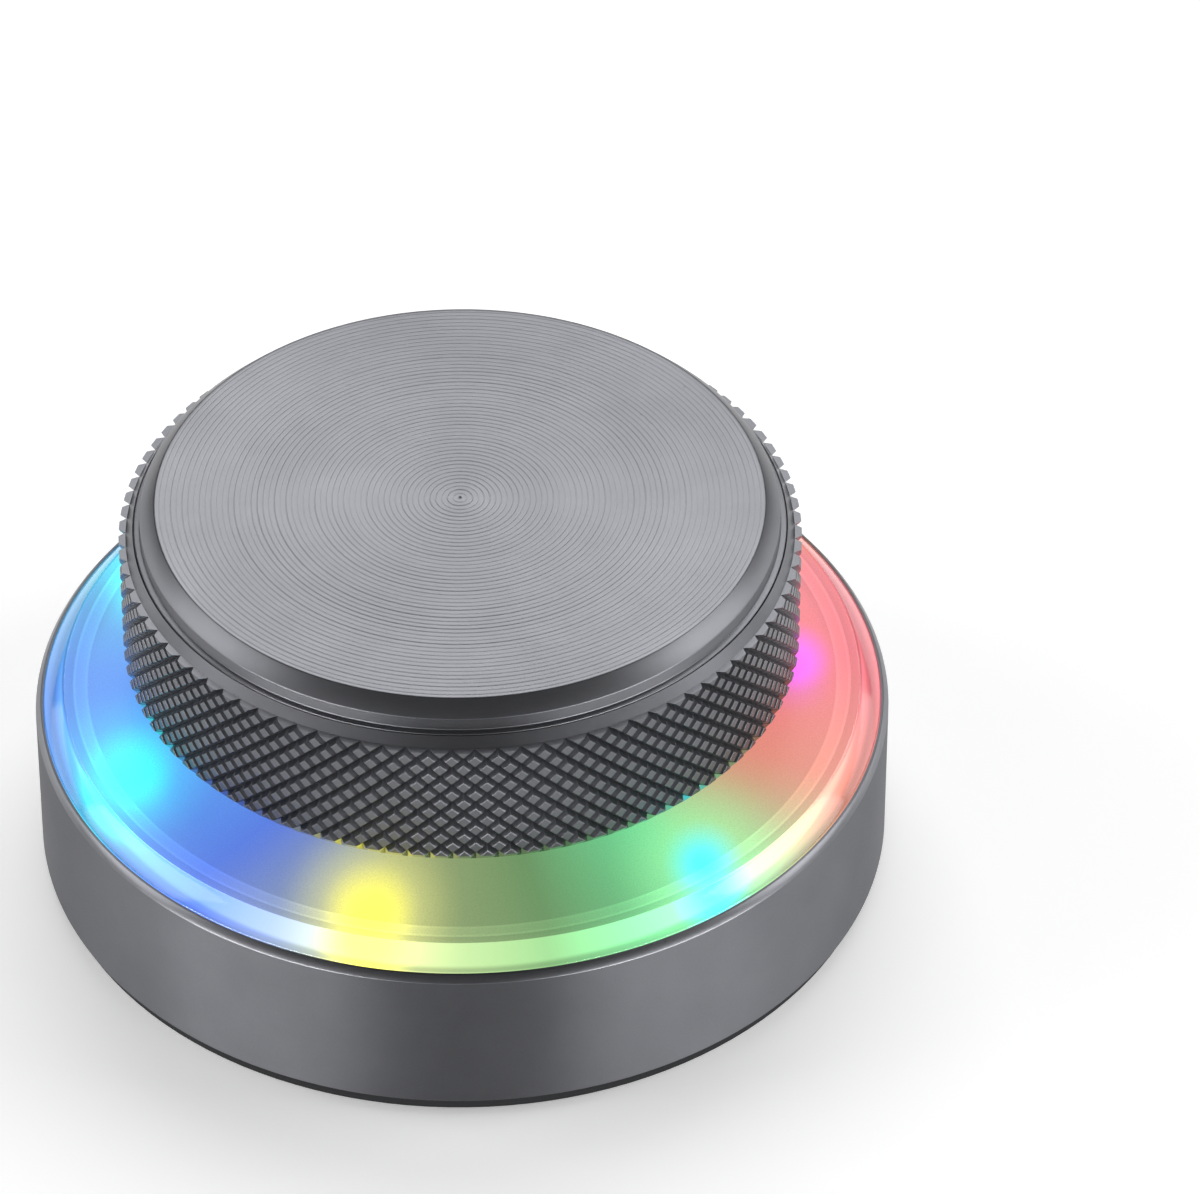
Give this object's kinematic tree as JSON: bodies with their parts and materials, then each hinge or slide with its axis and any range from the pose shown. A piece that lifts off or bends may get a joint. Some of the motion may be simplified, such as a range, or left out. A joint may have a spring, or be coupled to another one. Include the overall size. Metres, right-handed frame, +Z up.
{
  "type": "dial controller",
  "caption": "Desk dial controller: a knurled metal dial that turns and presses, floating over a lit acrylic ring on a round metal base with a charging socket and a power slide.",
  "frame": {"origin": "centre of the rubber foot's underside, on the surface that the base stands on", "axes": "+Z up along the dial's axis, +Y towards the charging socket at the rear, -Y is the front"},
  "size_m": [0.08, 0.08, 0.04],
  "materials": {
    "anodised_base": "satin anodised",
    "anodised_face": "turned, satin anodised",
    "anodised_grip": "knurled, satin anodised",
    "acrylic": "frosted top, polished bevel, lit from below",
    "white_plastic": "moulded",
    "led_resin": "clear cast",
    "black_plastic": "moulded, fine texture",
    "chip_resin": "moulded",
    "rubber": "matte",
    "foam": "matte",
    "board": "solder mask",
    "pouch": "foil",
    "wire": "insulation",
    "steel": "plain",
    "spring_brass": "plain"
  },
  "bodies": {
    "base": {"base_ring": "anodised_base", "light_ring": "acrylic", "diffuser_ring": "white_plastic", "light_chamber": "white_plastic", "battery_socket": "white_plastic", "leds": "led_resin", "bottom_cover": "black_plastic", "center_deck": "black_plastic", "encoder_base": "black_plastic", "usb_c_tongue": "black_plastic", "controller_chip": "chip_resin", "charge_chip": "chip_resin", "rubber_foot": "rubber", "battery_pad": "foam", "main_board": "board", "battery": "pouch", "battery_leads": "wire", "cover_screws": "steel", "board_screws": "steel", "usb_c_shell": "steel", "encoder_frame": "steel", "encoder_washer": "steel", "encoder_nut": "steel", "encoder_pins": "steel", "switch_dome": "steel", "power_switch_body": "steel", "crystal_can": "steel", "detent_spring": "spring_brass"},
    "plunger": {"switch_plunger": "white_plastic"},
    "knob": {"encoder_shaft": "steel", "knob_hub": "black_plastic", "hub_screws": "steel", "knob_cap": "anodised_face", "knurled_ring": "anodised_grip"},
    "rotor": {"encoder_rotor": "white_plastic"},
    "power_slider": {"power_switch_slider": "white_plastic"}
  },
  "joints": [
    {"name": "dial_press", "type": "slide", "parent": "base", "child": "plunger", "axis": [0, 0, -1], "range_m": [0, 0.0005], "stiffness_N_per_m": 6000, "springref_m": -0.0005},
    {"name": "dial_turn", "type": "hinge", "parent": "plunger", "child": "knob", "pos_m": [0, 0, 0.03], "axis": [0, 0, 1], "continuous": true},
    {"name": "rotor_turn", "type": "hinge", "parent": "base", "child": "rotor", "pos_m": [0, 0, 0.0135], "axis": [0, 0, 1], "continuous": true},
    {"name": "power_slide", "type": "slide", "parent": "base", "child": "power_slider", "axis": [1, 0, 0], "range_m": [0, 0.002]}
  ],
  "couplings": [
    {"joint": "rotor_turn", "follows": "dial_turn", "ratio": 1}
  ]
}
